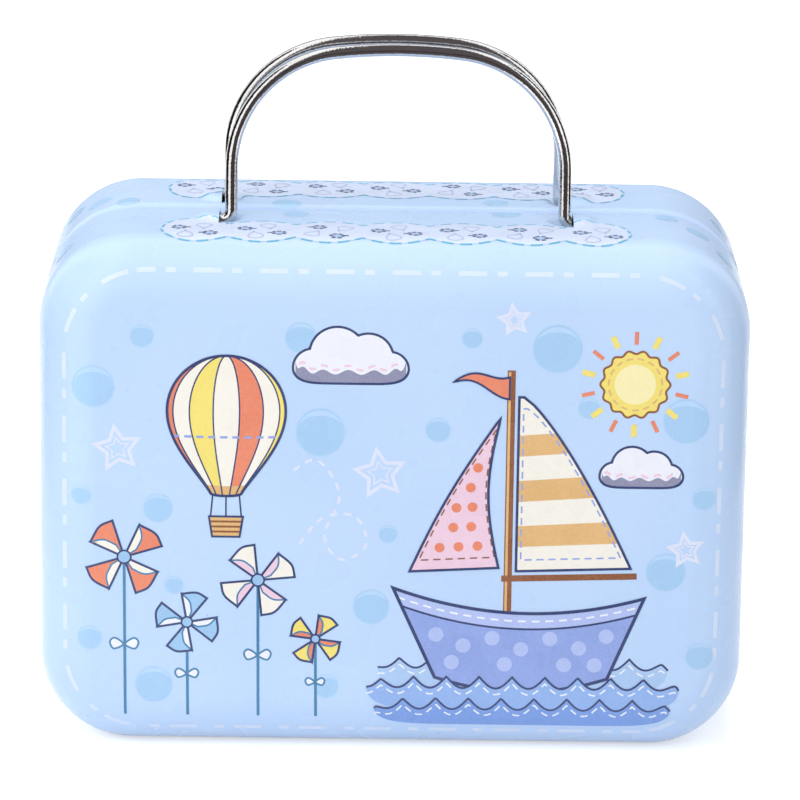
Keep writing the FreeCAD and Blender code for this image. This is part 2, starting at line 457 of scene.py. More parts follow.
def on_top(sheet, lift):
    """Lays points (x, y) of a sheet on the pan's top wall and over its rounded front edge.

    The wall is flat but for the wire seats, a half dome outside each slit and a half bowl inside it.
    Past the wall the sheet bends round the edge, keeping its length.
    """
    x, y = sheet[..., 0], sheet[..., 1]
    wall = half_depth - edge_r
    turn = np.maximum(-y - wall, 0) / edge_r
    from_seat = np.hypot(np.abs(x) - seat_x, y - seat_y)
    dome = pressed(from_seat, dome_flat_r, dome_height, dome_foot_r)
    bowl = -pressed(from_seat, 0.0, bowl_depth, bowl_lip_r)
    seat = np.where(np.abs(x) > seat_x, dome, bowl)
    reach = edge_r + lift
    flat_y = np.maximum(y, -wall)
    height = case_height - edge_r + reach * np.cos(turn) + seat
    return np.stack((x, flat_y - reach * np.sin(turn), height), -1)


def over_slit(corners):
    """True for cells that reach across the slit of a wire seat."""
    out = np.abs(corners[..., 0]) - seat_x
    near = np.hypot(out, corners[..., 1] - seat_y) < seat_r
    return (out > 0).any(axis=-1) & (out < 0).any(axis=-1) & near.any(axis=-1)


def lace_edge(at, rise):
    """Half width of the band at a place counted in scallops: a waist, swelling to each scallop's top.

    The first and the last half scallop close in a half ellipse.
    """
    end = np.clip(np.minimum(at, scallops - at) / 0.5, 0, 1)
    swell = np.where(end < 1, 1, np.abs(np.sin(np.pi * at)) ** scallop_fullness)
    return (lace_waist + rise * swell) * np.sqrt(1 - (1 - end) ** 2)


def circle(x, z, r, points=25, start=0.0, turn=1.0):
    """Arc of a circle, counter-clockwise; start and turn are in whole turns. Its values may be arrays."""
    angle = 2 * np.pi * (start + turn * np.linspace(0, 1, points))
    x, z, r = (np.asarray(v, float)[..., None] for v in (x, z, r))
    return np.stack((x + r * np.cos(angle), z + r * np.sin(angle)), -1)


def fill(path, centre=None, rings=4):
    """Ink inside closed paths: rings that shrink from each path to a point that sees all of it."""
    path = np.asarray(path, float)
    if centre is None:
        centre = path[..., :-1, :].mean(axis=-2)
    hub = np.asarray(centre, float)[..., None, None, :]
    arm = path - hub[..., 0, :, :]
    area = np.cross(arm[..., :-1, :], arm[..., 1:, :]).sum(axis=-1)
    if np.all(area < 0):
        path = path[..., ::-1, :]
    share = np.linspace(0, 1, rings)[:, None, None]
    return hub + share * (path[..., None, :, :] - hub)


def band(low, high, columns=12):
    """Ink between a lower and an upper path of as many points, which run from left to right."""
    return low[:, None] + np.linspace(0, 1, columns)[:, None] * (high - low)[:, None]


def lace_sides(along):
    """Lower and upper edge of the lace at places counted in scallops; the two end scallops rise more."""
    x = (along - scallops / 2) * scallop_pitch
    end = np.where(np.minimum(along, scallops - along) < 1, end_scallop_rise, 0.0)
    low = np.stack((x, lace_middle - lace_edge(along, lace_drop)), -1)
    high = np.stack((x, lace_middle + lace_edge(along, lace_rise + end)), -1)
    return low, high


# The lace's ground is cut at the slits of the seats, where the tin steps from dome to bowl.
slit_along = scallops / 2 + np.array((-seat_x, seat_x)) / scallop_pitch
lace_cuts = ((0.0, slit_along[0] - slit_edge), slit_along + (slit_edge, -slit_edge),
             (slit_along[1] + slit_edge, scallops))
ground_steps = [scallop_steps + int(scallop_steps * (end - begin)) for begin, end in lace_cuts]
lace_ground = [band(*lace_sides(np.linspace(*span, steps))) for span, steps in zip(lace_cuts, ground_steps)]
lace_low, lace_high = lace_sides(np.linspace(0, scallops, scallops * scallop_steps + 1))
lace_loop = np.concatenate((lace_low, lace_high[::-1]))
scallop_x = (np.arange(scallops) + 0.5 - scallops / 2) * scallop_pitch
group_middle = np.stack((scallop_x, np.full(scallops, lace_middle)), -1)


def in_groups(path):
    """A path of the lace's small group, turned for each scallop and laid in its middle."""
    path = np.asarray(path, float)
    c, s = (f(group_turn)[:, None] for f in (np.cos, np.sin))
    x, y = c * path[:, 0] - s * path[:, 1], s * path[:, 0] + c * path[:, 1]
    return np.stack((x, y), -1) + group_middle[:, None]


# A drop's half width goes with sine times squared half-angle sine, widened to drop_half at its fullest.
drop_turn = np.linspace(0, 2 * np.pi, 33)
drop = np.stack((drop_widen * drop_half[0] * np.sin(drop_turn) * np.sin(drop_turn / 2) ** 2,
                 drop_half[1] * np.cos(drop_turn)), -1)
drops = np.concatenate([in_groups(side * drop + place) for side, place in zip((-1, 1), drop_places)])
flower_ring = circle(0.0, 0.0, flower_r, points=49)
flower_dashes = dashes(flower_ring, flower_dash, flower_gap)
flowers = np.concatenate([in_groups(flower_ring + place) for place in flower_places])
ring_dashes = np.concatenate([in_groups(dash + place) for place in flower_places for dash in flower_dashes])
tail_run = flower_r + np.array((tail_start, tail_length))
tail = np.stack((tail_side * tail_run, 0 * tail_side * tail_run), -1)
tails = np.concatenate([in_groups([place]) + side * tail for side, place in zip((1, -1), flower_places)])
lace_white_ink = ink("lace_white", lace_white, grain=0.02)
lace_teal_ink = ink("lace_teal", lace_teal)
lace_slate_ink = ink("lace_slate", lace_slate, grain=0.12)
lace_layers = [(lace_white_ink, ground) for ground in lace_ground] + [
    (lace_teal_ink, stroke(dashes(lace_loop, edge_dash, edge_gap), edge_line)),
    (ink("lace_blue", lace_blue), fill(flowers)),
    (lace_slate_ink, stroke(ring_dashes, flower_line)),
    (lace_slate_ink, stroke(tails, tail_line)),
    (ink("lace_lilac", lace_lilac), stroke(drops, drop_line)),
]
for pan, towards_seam in (("front", 0.0), ("rear", rear_lace_shift)):
    strip = [(colour, grid + (0.0, towards_seam)) for colour, grid in lace_layers]
    printed("lace_strip", strip, on_top, seat_films, (pan,), over_slit)

# Bubbles. Pale blue discs scattered over the tin, each with a soft edge and a light crescent at its top,
# printed straight on the ground colour; some lie on the side walls and run over the rolled rim.
rim_r = 1.7
half_gap = 0.1
bubble_blue = (170, 209, 246)
bubble_soft = (182, 215, 250)
bubble_light = (188, 219, 253)
bubble_films = 3
soft_edge = 0.14
crescent_reach, crescent_depth = 0.9, 0.22
crescent_start, crescent_turn, crescent_points = 0.05, 0.4, 21
bubbles = np.array((
    (-37.0, 47.5, 2.7), (-31.0, 54.0, 1.5), (-11.5, 54.0, 2.0), (-9.0, 42.0, 3.1), (5.5, 42.5, 1.6),
    (9.5, 54.2, 1.3), (20.0, 53.0, 3.1), (24.0, 45.5, 1.4), (36.0, 44.0, 2.9), (38.5, 34.0, 1.5),
    (34.0, 24.5, 2.5), (-37.5, 15.0, 1.6), (-38.5, 33.5, 1.3), (-29.0, 32.0, 1.9), (-2.5, 19.5, 2.3),
    (-8.0, 9.0, 1.6), (38.5, 13.5, 1.8), (-29.5, 9.0, 2.4), (-0.5, 29.0, 1.2), (-27.0, 22.0, 1.2)))
wall_bubbles = np.array((
    (0.030, 9.5, 1.6), (0.044, 6.0, 1.7), (0.058, 2.6, 1.6), (0.128, 2.2, 1.9), (0.220, 3.6, 1.7),
    (0.325, 8.6, 1.7), (0.337, 4.2, 1.5), (0.400, 5.2, 2.2), (0.455, 9.0, 1.6), (0.520, 5.5, 1.8),
    (0.830, 6.0, 1.9), (0.890, 9.5, 2.2), (0.950, 4.5, 1.6)))


def on_wall(sheet, lift):
    """Lays points on the pan's side wall: the first value runs along the outline, the second is -depth.

    Near the seam the wall turns inward in a round of rim_r, which the points follow.
    """
    path = outline(0.0)
    run = lengths(path)
    away = outline(-1.0) - path
    along = sheet[..., 0] % run[-1]
    past = np.clip((half_gap + rim_r + sheet[..., 1]) / rim_r, 0, 1)
    drawn_in = rim_r - (rim_r + lift) * np.sqrt(1 - past ** 2)
    wall = np.where(past > 0, -drawn_in, lift)
    x = np.interp(along, run, path[:, 0]) + wall * np.interp(along, run, away[:, 0])
    z = np.interp(along, run, path[:, 1]) + wall * np.interp(along, run, away[:, 1])
    return np.stack((x, sheet[..., 1] + lift * past, z), -1)


def bubble_layers(x, z, r):
    """Soft outer edge, disc and light crescent of each bubble.

    The crescent lies between an arc just inside the disc and the same arc lowered by a sine hump, by
    crescent_depth of the radius in its middle and by nothing at its ends.
    """
    arc = circle(x, z, crescent_reach * r, crescent_points, crescent_start, crescent_turn)
    sag = crescent_depth * np.sin(np.pi * np.linspace(0, 1, crescent_points))[:, None] * (0.0, 1.0)
    share = np.linspace(0, 1, 4)[:, None]
    crescent = arc[:, :, None] - sag[:, None] * share * np.asarray(r)[:, None, None, None]
    return [(bubble_soft_ink, fill(circle(x, z, r, points=33), rings=6)),
            (bubble_ink, fill(circle(x, z, r - soft_edge, points=33), rings=6)),
            (bubble_light_ink, crescent)]


bubble_ink = ink("bubble_blue", bubble_blue, grain=0.03)
bubble_soft_ink = ink("bubble_soft", bubble_soft, grain=0.03)
bubble_light_ink = ink("bubble_light", bubble_light, grain=0.02)
printed("face_bubbles", bubble_layers(*bubbles.T))
wall_along, wall_depth, wall_r = wall_bubbles.T
wall_length = lengths(outline(0.0))[-1]
printed("wall_bubbles", bubble_layers(wall_along * wall_length, -wall_depth, wall_r), on_wall)

# Boat on the sea. A striped sail, a dotted jib and a pennant over a round-bottomed hull, between rows of
# scalloped waves; flat inks with thin navy outlines and stitched lines, printed in this order.
navy_line = (62, 74, 122)
sea_colours = ((176, 206, 246), (150, 184, 240), (128, 164, 232))
hull_blue = (150, 172, 234)
hull_pale = (182, 198, 246)
sail_cream = (247, 243, 234)
sail_tan = (233, 188, 128)
jib_pink = (241, 208, 228)
pennant_coral = (240, 142, 112)
mast_brown = (152, 96, 66)
line_white = (238, 244, 255)
sail_line, hull_line, thin_line = 0.32, 0.42, 0.26
sewn_dash, sewn_gap, sewn_line = 0.9, 0.6, 0.2
sea_left, sea_right = -4.0, 37.0
wave_pitch, wave_height, wave_sewn_drop = 4.1, 1.5, 0.8
keel_left, keel_length, keel_z, keel_curve = 5.5, 21.5, 8.6, 1.8
sheer_left, sheer_length, sheer_z, sheer_curve, sheer_tilt = 0.2, 31.2, 18.4, 2.6, 1.0
hull_band, hull_sewn_at = 0.8, 0.9
hull_dash, hull_gap, hull_sewn_line = 1.0, 0.7, 0.24
hull_dot_r, jib_dot_r = 0.95, 0.62
mast_x, mast_foot, mast_top, mast_width = 14.4, 18.5, 50.2, 1.0
mast_light_x, mast_light_top, mast_light_width = 14.2, 50.0, 0.3
boom_luff, boom_clew, boom_width = (13.6, 23.4), (30.4, 23.9), 0.8
luff_x, luff_z, luff_length = 15.4, 24.4, 22.4
leech_x, leech_z, leech_length = 16.0, 24.9, 21.9
sail_foot, sail_fullness, sail_roach = 13.6, 0.8, 1.6
sail_stripes = ((0.14, 0.26), (0.4, 0.52), (0.66, 0.78))
jib_leech_x, jib_leech_z, jib_leech_length, jib_leech_hollow = 13.2, 24.8, 19.4, 1.4
jib_stay_x, jib_stay_z, jib_stay_length, jib_stay_sag = 2.2, 24.2, 20.0, 0.7
jib_foot = 11.0
sail_hem, jib_hem, jib_sewn_line = 0.87, 0.85, 0.18
pennant_x, pennant_z, pennant_length, pennant_half = 7.2, 48.6, 7.0, 1.4
pennant_flutter, pennant_bend = 0.7, 5


def line(start, end, points=12):
    """Straight path between two points of the sheet."""
    return np.asarray(start, float) + np.linspace(0, 1, points)[:, None] * np.subtract(end, start)


def smooth_line(knots, closed=False, steps=10):
    """Path through knots: from each to the next a cubic whose slopes follow the neighbours on both sides."""
    p = np.asarray(knots, float)
    ends = (p[-1:], p[:2]) if closed else (2 * p[:1] - p[1:2], 2 * p[-1:] - p[-2:-1])
    p = np.concatenate((ends[0], p, ends[1]))
    t = np.linspace(0, 1, steps, endpoint=False)[:, None]
    a, b, c, d = (p[i:len(p) - 3 + i, None] for i in range(4))
    curve = b + 0.5 * t * (c - a + t * (2 * a - 5 * b + 4 * c - d + t * (3 * (b - c) + d - a)))
    return np.concatenate((curve.reshape(-1, 2), p[-2:-1]))


def loop(*paths):
    """Closed path along several paths in turn, with each shared end taken once."""
    path = np.concatenate(paths)
    path = path[np.hypot(*(path - np.roll(path, 1, axis=0)).T) > 1e-6]
    return np.concatenate((path, path[:1]))


def shrunk(path, share):
    """A path drawn in towards its own middle."""
    middle = path.mean(axis=0)
    return middle + share * (path - middle)


def wave_row(base, shift, depth):
    """Lower and upper edge of a row of waves: crests at each pitch, hollow between, thinning at both ends."""
    x = np.linspace(sea_left + shift, sea_right - shift, 181)
    end = np.sqrt(1 - np.abs(np.linspace(-1, 1, len(x))) ** 8)
    crest = wave_height * (1 - np.abs(np.sin(np.pi * (x - sea_left) / wave_pitch + shift)))
    return np.stack((x, base - depth * end), -1), np.stack((x, base + crest * end), -1)


def hull(height):
    """Line along the hull at a share of its height: from the keel to the sheer, which rises to both ends."""
    t = np.linspace(0, 1, 41)
    bend = (2 * t - 1) ** 2
    keel = np.stack((keel_left + keel_length * t, keel_z + keel_curve * bend), -1)
    sheer_height = sheer_z + sheer_curve * bend + sheer_tilt * (1 - t)
    sheer = np.stack((sheer_left + sheer_length * t, sheer_height), -1)
    return keel + height * (sheer - keel)


def main_sail(low, high):
    """Leech and luff of the main sail between two shares of its height, the leech full and curved."""
    t = np.linspace(low, high, 21)
    leech_height = leech_z + leech_length * t + sail_roach * t * (1 - t)
    leech = np.stack((leech_x + sail_foot * (1 - t) ** sail_fullness, leech_height), -1)
    luff = np.stack((luff_x + 0 * t, luff_z + luff_length * t), -1)
    return leech, luff


def jib(t):
    """Leech and stay of the jib at shares of its height, each a straight line hollowed by half a sine."""
    leech = np.stack((jib_leech_x - jib_leech_hollow * np.sin(np.pi * t),
                      jib_leech_z + jib_leech_length * t), -1)
    stay = np.stack((jib_stay_x + jib_foot * t - jib_stay_sag * np.sin(np.pi * t),
                     jib_stay_z + jib_stay_length * t), -1)
    return leech, stay


navy_ink = ink("navy_line", navy_line, grain=0.1)
white_line_ink = ink("white_line", line_white, grain=0.02)
cream_ink = ink("cream", sail_cream, grain=0.03)
tan_ink = ink("tan", sail_tan, grain=0.08, size=0.2)
pink_ink = ink("pink", jib_pink, grain=0.04)
coral_ink = ink("coral", pennant_coral, grain=0.07, size=0.2)
brown_ink = ink("brown", mast_brown, grain=0.12, size=0.2)
hull_ink = ink("hull_blue", hull_blue, grain=0.06, size=0.25)
hull_pale_ink = ink("hull_pale", hull_pale, grain=0.05)
sea_inks = [ink(f"sea_{i}", colour, grain=0.05) for i, colour in enumerate(sea_colours)]
sea_rows = [wave_row(base=11.6, shift=2.4, depth=3.2), wave_row(base=9.0, shift=1.0, depth=3.0),
            wave_row(base=6.2, shift=2.0, depth=2.2)]


def wave_layers(colour, low, high):
    """One row of waves: its colour, its crest line and a stitched line below the crests."""
    sewn = dashes(high - (0.0, wave_sewn_drop), sewn_dash, sewn_gap)
    return [(colour, band(low, high, columns=8)), (navy_ink, stroke(high, thin_line)),
            (white_line_ink, stroke(sewn, sewn_line))]


hull_dots = np.array([(5.6, 16.0), (9.0, 14.6), (12.6, 15.6), (16.2, 14.2), (19.8, 15.6), (23.4, 14.4),
                      (26.8, 16.0), (7.6, 12.4), (14.2, 12.2), (21.6, 12.2), (25.4, 12.2)])
jib_dots_at = np.array([(0.15, 0.26), (0.15, 0.52), (0.15, 0.78), (0.28, 0.38), (0.28, 0.68), (0.41, 0.32),
                        (0.41, 0.66), (0.54, 0.5), (0.67, 0.5)])
jib_leech, jib_stay = jib(np.linspace(0, 1, 25))
dot_leech, dot_stay = jib(jib_dots_at[:, 0])
jib_dots = dot_stay + jib_dots_at[:, 1:] * (dot_leech - dot_stay)
jib_loop = loop(jib_leech, jib_stay[::-1])
sail_leech, sail_luff = main_sail(0, 1)
sail_loop = loop(sail_leech, sail_luff[::-1])
fly = np.linspace(0, 1, 17)
pennant_low, pennant_high = (
    np.stack((pennant_x + pennant_length * fly,
              pennant_z + side * pennant_half * fly + pennant_flutter * np.sin(pennant_bend * fly)), -1)
    for side in (-1, 1))
boat = wave_layers(sea_inks[0], *sea_rows[0])
boat += [
    (brown_ink, stroke(line((mast_x, mast_foot), (mast_x, mast_top)), mast_width)),
    (tan_ink, stroke(line((mast_light_x, mast_foot), (mast_light_x, mast_light_top)), mast_light_width)),
    (brown_ink, stroke(line(boom_luff, boom_clew), boom_width)),
    (hull_ink, band(hull(0.0), hull(hull_band))),
    (hull_pale_ink, band(hull(hull_band), hull(1.0))),
    (hull_pale_ink, fill(circle(hull_dots[:, 0], hull_dots[:, 1], hull_dot_r))),
    (white_line_ink, stroke(dashes(hull(hull_sewn_at), hull_dash, hull_gap), hull_sewn_line)),
    (navy_ink, stroke(hull(hull_band), thin_line)),
    (navy_ink, stroke(loop(hull(0.0), hull(1.0)[::-1]), hull_line)),
    (cream_ink, band(sail_leech, sail_luff)),
    (pink_ink, band(jib_leech, jib_stay)),
    (coral_ink, band(pennant_low, pennant_high)),
    (coral_ink, fill(circle(jib_dots[:, 0], jib_dots[:, 1], jib_dot_r))),
]
boat += [(tan_ink, band(*main_sail(*stripe))) for stripe in sail_stripes]
boat += [
    (hull_ink, stroke(dashes(shrunk(sail_loop, sail_hem), sewn_dash, sewn_gap), sewn_line)),
    (brown_ink, stroke(dashes(shrunk(jib_loop, jib_hem), sewn_dash, sewn_gap), jib_sewn_line)),
    (navy_ink, stroke(sail_loop, sail_line)),
    (navy_ink, stroke(jib_loop, sail_line)),
    (navy_ink, stroke(loop(pennant_low, pennant_high[::-1]), thin_line)),
]
boat += wave_layers(sea_inks[1], *sea_rows[1]) + wave_layers(sea_inks[2], *sea_rows[2])
printed("boat_and_sea", boat, under=bubble_films)

# Sun. A scalloped yellow disc with a paler middle, a ring of stitches and short rays in two colours.
# It is printed on the ground colour in flat inks, with its brown outline over them.
sun_x, sun_z, sun_r = 29.6, 48.6, 4.1
sun_scallops, sun_scallop_rise = 14, 0.05
sun_middle, sun_ring = 0.62, 0.8
ring_dash, ring_gap, ring_line = 0.8, 0.55, 0.22
sun_rays, ray_tilt, ray_start, ray_end = 14, 0.22, 1.0, 2.6
wide_ray, slim_ray = 0.7, 0.5
sun_yellow = (248, 229, 124)
sun_pale = (252, 242, 186)
yellow_ink = ink("sun_yellow", sun_yellow, grain=0.05)
pale_yellow_ink = ink("sun_pale", sun_pale, grain=0.03)
sun_turn = np.linspace(0, 2 * np.pi, 145)
sun_edge = sun_r * (1 + sun_scallop_rise * np.cos(sun_scallops * sun_turn))
sun_rim = np.stack((sun_x + sun_edge * np.cos(sun_turn), sun_z + sun_edge * np.sin(sun_turn)), -1)
ray_turn = 2 * np.pi * np.arange(sun_rays)[:, None] / sun_rays + ray_tilt
ray_reach = np.linspace(sun_r + ray_start, sun_r + ray_end, 6)
rays = np.stack((sun_x + ray_reach * np.cos(ray_turn), sun_z + ray_reach * np.sin(ray_turn)), -1)
sun_stitches = dashes(circle(sun_x, sun_z, sun_ring * sun_r, points=97), ring_dash, ring_gap)
printed("sun", [
    (yellow_ink, fill(sun_rim)),
    (pale_yellow_ink, fill(circle(sun_x, sun_z, sun_middle * sun_r, points=49))),
    (tan_ink, stroke(sun_stitches, ring_line)),
    (brown_ink, stroke(sun_rim, thin_line)),
    (yellow_ink, stroke(rays[::2], wide_ray)),
    (coral_ink, stroke(rays[1::2], slim_ray)),
], under=bubble_films)

# Clouds. Round heads on a flat base, white with a mauve underside, one navy outline round them all.
# The outline is the same cloud a little larger, printed first; a row of pink stitches comes last.
cloud_white = (240, 242, 253)
cloud_mauve = (150, 152, 182)
cloud_ink = ink("cloud_white", cloud_white, grain=0.03)
mauve_ink = ink("cloud_mauve", cloud_mauve, grain=0.08)
clouds = (((-5.4, 49.6), 1.0), ((30.6, 36.4), 0.72))
cloud_heads = np.array([(-4.6, 0.6, 2.3), (-1.6, 2.4, 3.3), (2.2, 2.0, 2.9), (4.9, 0.5, 2.1)])
cloud_base = -1.2
base_turn_up = 1.8
cloud_line = 0.3
shade_height, shade_wave, shade_bend = 1.3, 0.3, 0.35
shaded, stitched = slice(8, -8), slice(16, -16)
cloud_dash, cloud_gap, cloud_sewn_line, cloud_sewn_rise = 0.9, 0.7, 0.3, 0.55


def cloud_edges(grow):
    """Flat base and round heads of a cloud, grown by a margin: at each place the highest head's arc.

    Towards the ends the base turns up by one less the root of one less the sixth power of the distance.
    """
    left = (cloud_heads[:, 0] - cloud_heads[:, 2]).min()
    right = (cloud_heads[:, 0] + cloud_heads[:, 2]).max()
    middle, half = (left + right) / 2, (right - left) / 2 + grow
    x = middle - half * np.cos(np.linspace(0, np.pi, 121))
    reach = (cloud_heads[:, 2:] + grow) ** 2 - (x - cloud_heads[:, :1]) ** 2
    arcs = cloud_heads[:, 1:2] + np.sqrt(np.maximum(reach, 0))
    top = np.where(reach > 0, arcs, cloud_base).max(axis=0)
    end = 1 - np.sqrt(1 - np.clip(np.abs(x - middle) / half, 0, 1) ** 6)
    base = cloud_base - grow + (base_turn_up + grow) * end
    return np.stack((x, np.minimum(base, top)), -1), np.stack((x, np.maximum(base, top)), -1)


for number, (place, size) in enumerate(clouds):
    low, high = (edge * size + place for edge in cloud_edges(0.0))
    out_low, out_high = (edge * size + place for edge in cloud_edges(cloud_line / size))
    shade_rise = shade_height + shade_wave * np.sin(shade_bend * np.arange(len(low)))[:, None]
    shade_high = np.minimum(low + size * shade_rise * (0.0, 1.0), high)
    sewn = dashes(shade_high[stitched] + (0.0, cloud_sewn_rise * size), cloud_dash, cloud_gap)
    printed(f"cloud_{number + 1}", [
        (navy_ink, band(out_low, out_high)),
        (cloud_ink, band(low, high)),
        (mauve_ink, band(low[shaded], shade_high[shaded], columns=4)),
        (pink_ink, stroke(sewn, cloud_sewn_line)),
    ], under=bubble_films)

# Balloon. Seven gores in coral, cream and yellow, a tan mouth and a woven basket on three cords.
# The gores narrow towards the sides as on a round body; seams and outline are printed over them.
balloon_x, balloon_z, balloon_h = -20.6, 34.0, 17.6
balloon_r, mouth_r, widest = 7.3, 1.9, 0.6
swell_power, mouth_sag, mouth_band = 1.1, 0.35, 0.07
belt_height, belt_reach, belt_line = 0.42, 0.98, 0.3
basket_floor, basket_floor_half = -5.6, 1.7
basket_rim, basket_rim_half = -3.0, 2.1
weave_rows = (0.25, 0.5, 0.75)
cord_feet, cord_top, cord_draw_in = (-1.9, 0.0, 1.9), 0.1, 0.85
cord_line, seam_line, balloon_line = 0.2, 0.18, 0.34
gore_inks = (coral_ink, cream_ink, yellow_ink, cream_ink, coral_ink, cream_ink, yellow_ink)
gores = len(gore_inks)


def envelope(across, height):
    """Points of the balloon: across runs from -1 to 1 round the visible half, height from mouth to crown.

    The radius swells on a quarter sine to its widest place and closes in a quarter ellipse above it.
    """
    low = mouth_r + (balloon_r - mouth_r) * np.sin(np.pi / 2 * np.minimum(height / widest, 1)) ** swell_power
    high = balloon_r * np.sqrt(np.maximum(1 - (np.maximum(height - widest, 0) / (1 - widest)) ** 2, 0))
    radius = np.where(height < widest, low, high)
    x = balloon_x + radius * np.sin(np.pi / 2 * across)
    sag = -mouth_sag * np.cos(np.pi / 2 * across) * (1 - height)
    return np.stack(np.broadcast_arrays(x, balloon_z + balloon_h * height + sag), -1)


gore_height = np.sin(np.linspace(0, np.pi / 2, 41))
gore_edges = np.linspace(-1, 1, gores + 1)
mouth_across = np.linspace(-1, 1, 15)
mouth = envelope(mouth_across, np.array(0.0))
balloon_rim = loop(envelope(1.0, gore_height), envelope(-1.0, gore_height[::-1]), mouth)
belt = envelope(np.linspace(-belt_reach, belt_reach, 41), np.array(belt_height))
hung = (balloon_x, balloon_z)
basket_low = line((-basket_floor_half, basket_floor), (basket_floor_half, basket_floor)) + hung
basket_high = line((-basket_rim_half, basket_rim), (basket_rim_half, basket_rim)) + hung
weave = np.stack([basket_low + share * (basket_high - basket_low) for share in weave_rows])
cords = np.stack([line((foot, basket_rim), (cord_draw_in * foot, cord_top)) for foot in cord_feet]) + hung
balloon = [(navy_ink, stroke(cords, cord_line))]
for i, gore_ink in enumerate(gore_inks):
    across = np.linspace(gore_edges[i], gore_edges[i + 1], 7)[:, None]
    balloon.append((gore_ink, envelope(across, gore_height)))
balloon += [
    (tan_ink, envelope(mouth_across[:, None], np.linspace(0, mouth_band, 4))),
    (navy_ink, stroke(envelope(gore_edges[1:-1, None], gore_height), seam_line)),
    (hull_ink, stroke(dashes(belt, sewn_dash, sewn_gap), belt_line)),
    (tan_ink, band(basket_low, basket_high)),
    (brown_ink, stroke(weave, thin_line)),
    (navy_ink, stroke(loop(basket_low, basket_high[::-1]), thin_line)),
    (navy_ink, stroke(balloon_rim, balloon_line)),
]
printed("balloon", balloon, under=bubble_films)

# Pinwheels. Four folded paper vanes and a button on a thin stick tied with a bow, in four sizes.
# Vanes and folds are drawn once for a wheel of radius 1, then turned, sized and printed in place.
stick_teal = (74, 136, 180)
pale_blue = (160, 202, 242)
teal_ink = ink("stick_teal", stick_teal, grain=0.08)
pale_blue_ink = ink("pale_blue", pale_blue, grain=0.07, size=0.2)
pinwheels = ((-33.2, 25.6, 4.9, 0.3, coral_ink, cream_ink),
             (-25.4, 17.2, 4.0, 0.9, pale_blue_ink, cloud_ink),
             (-16.6, 22.8, 4.6, 0.1, cream_ink, pink_ink),
             (-9.4, 15.2, 3.3, 0.6, yellow_ink, coral_ink))
stick_foot, stick_lean, stick_line = 4.9, 0.12, 0.36
hub, vane_root, vane_tip = (0, 0), (1, 0), (0.62, 0.7)
vane_bulge, fold_bulge, fold_root = (0.94, 0.36), (0.58, 0.36), (0.36, 0.1)
vane_middle, fold_middle = (0.55, 0.25), (0.38, 0.3)
vane_line, fold_line, bow_line = 0.28, 0.22, 0.24
button_r, button_line = 0.17, 0.22
bow_knots = ((0.1, 0), (1.1, 0.75), (1.65, 0.25), (1.2, -0.55))
bow_size, bow_height = 0.22, 0.45
vane = loop(line(hub, vane_root, points=8), smooth_line([vane_root, vane_bulge, vane_tip], steps=6),
            line(vane_tip, hub, points=8))
fold = loop(line(hub, vane_tip, points=8), smooth_line([vane_tip, fold_bulge, fold_root], steps=6))
bow = np.stack([side * smooth_line(bow_knots, closed=True) * (1, side) for side in (1, -1)])


def turned(path, angle):
    """A path turned about its own origin, once for each angle."""
    c, s = np.cos(angle)[:, None], np.sin(angle)[:, None]
    return np.stack((c * path[:, 0] - s * path[:, 1], s * path[:, 0] + c * path[:, 1]), -1)


for number, (x, z, r, tilt, front_ink, back_ink) in enumerate(pinwheels):
    quarter = tilt + np.pi / 2 * np.arange(4)
    vanes = turned(vane, quarter) * r + (x, z)
    folds = turned(fold, quarter) * r + (x, z)
    vane_middles = turned(np.array([vane_middle]), quarter)[:, 0] * r + (x, z)
    fold_middles = turned(np.array([fold_middle]), quarter)[:, 0] * r + (x, z)
    bow_here = bow * (bow_size * r) + (x, stick_foot + bow_height * (z - stick_foot))
    button = circle(x, z, button_r * r)
    printed(f"pinwheel_{number + 1}", [
        (teal_ink, stroke(line((x + stick_lean, stick_foot), (x, z), points=40), stick_line)),
        (cloud_ink, fill(bow_here)),
        (teal_ink, stroke(bow_here, bow_line)),
        (front_ink, fill(vanes, vane_middles)),
        (back_ink, fill(folds, fold_middles)),
        (teal_ink, stroke(folds, fold_line)),
        (navy_ink, stroke(vanes, vane_line)),
        (pale_blue_ink, fill(button)),
        (navy_ink, stroke(button, button_line)),
    ], under=bubble_films)

# Stars and wind. Sketched white stars, each a thick outline round a thin one, and a dashed trail that
# loops between the pinwheels and the boat.
star_places = np.array([(-34.0, 39.6, 3.1), (-1.6, 36.8, 3.4), (14.6, 56.6, 2.0), (36.4, 27.4, 2.3)])
star_white = (224, 232, 254)
star_ink = ink("star_white", star_white, grain=0.03)
star_tilt, star_notch, star_knot_count = 0.15, 0.5, 10
star_edge = 0.443
outer_star, outer_line = 0.9, 0.46
inner_star, inner_line = 0.46, 0.22
trail_dash, trail_gap, trail_line = 1.0, 0.8, 0.36
star_order = np.arange(star_knot_count)
star_turn = np.pi / 2 + star_tilt + 2 * np.pi * star_order / star_knot_count
star_reach = np.where(star_order % 2, star_notch, 1.0)
star_knots = np.stack((star_reach * np.cos(star_turn), star_reach * np.sin(star_turn)), -1)
star = loop(*(line(star_knots[i - 1], star_knots[i], points=7) for i in star_order))


def star_outline(size, width):
    """Outline of each star at a share of its size: the star grown and shrunk by half the line's width.

    Star_edge is how far the sides of a star with its tips at 1 lie from its middle.
    """
    reach = size * star_places[:, None, 2:]
    grow = width / 2 / star_edge
    outer, inner = (star * (reach + side * grow) + star_places[:, None, :2] for side in (1, -1))
    return np.stack((outer, inner), -2)


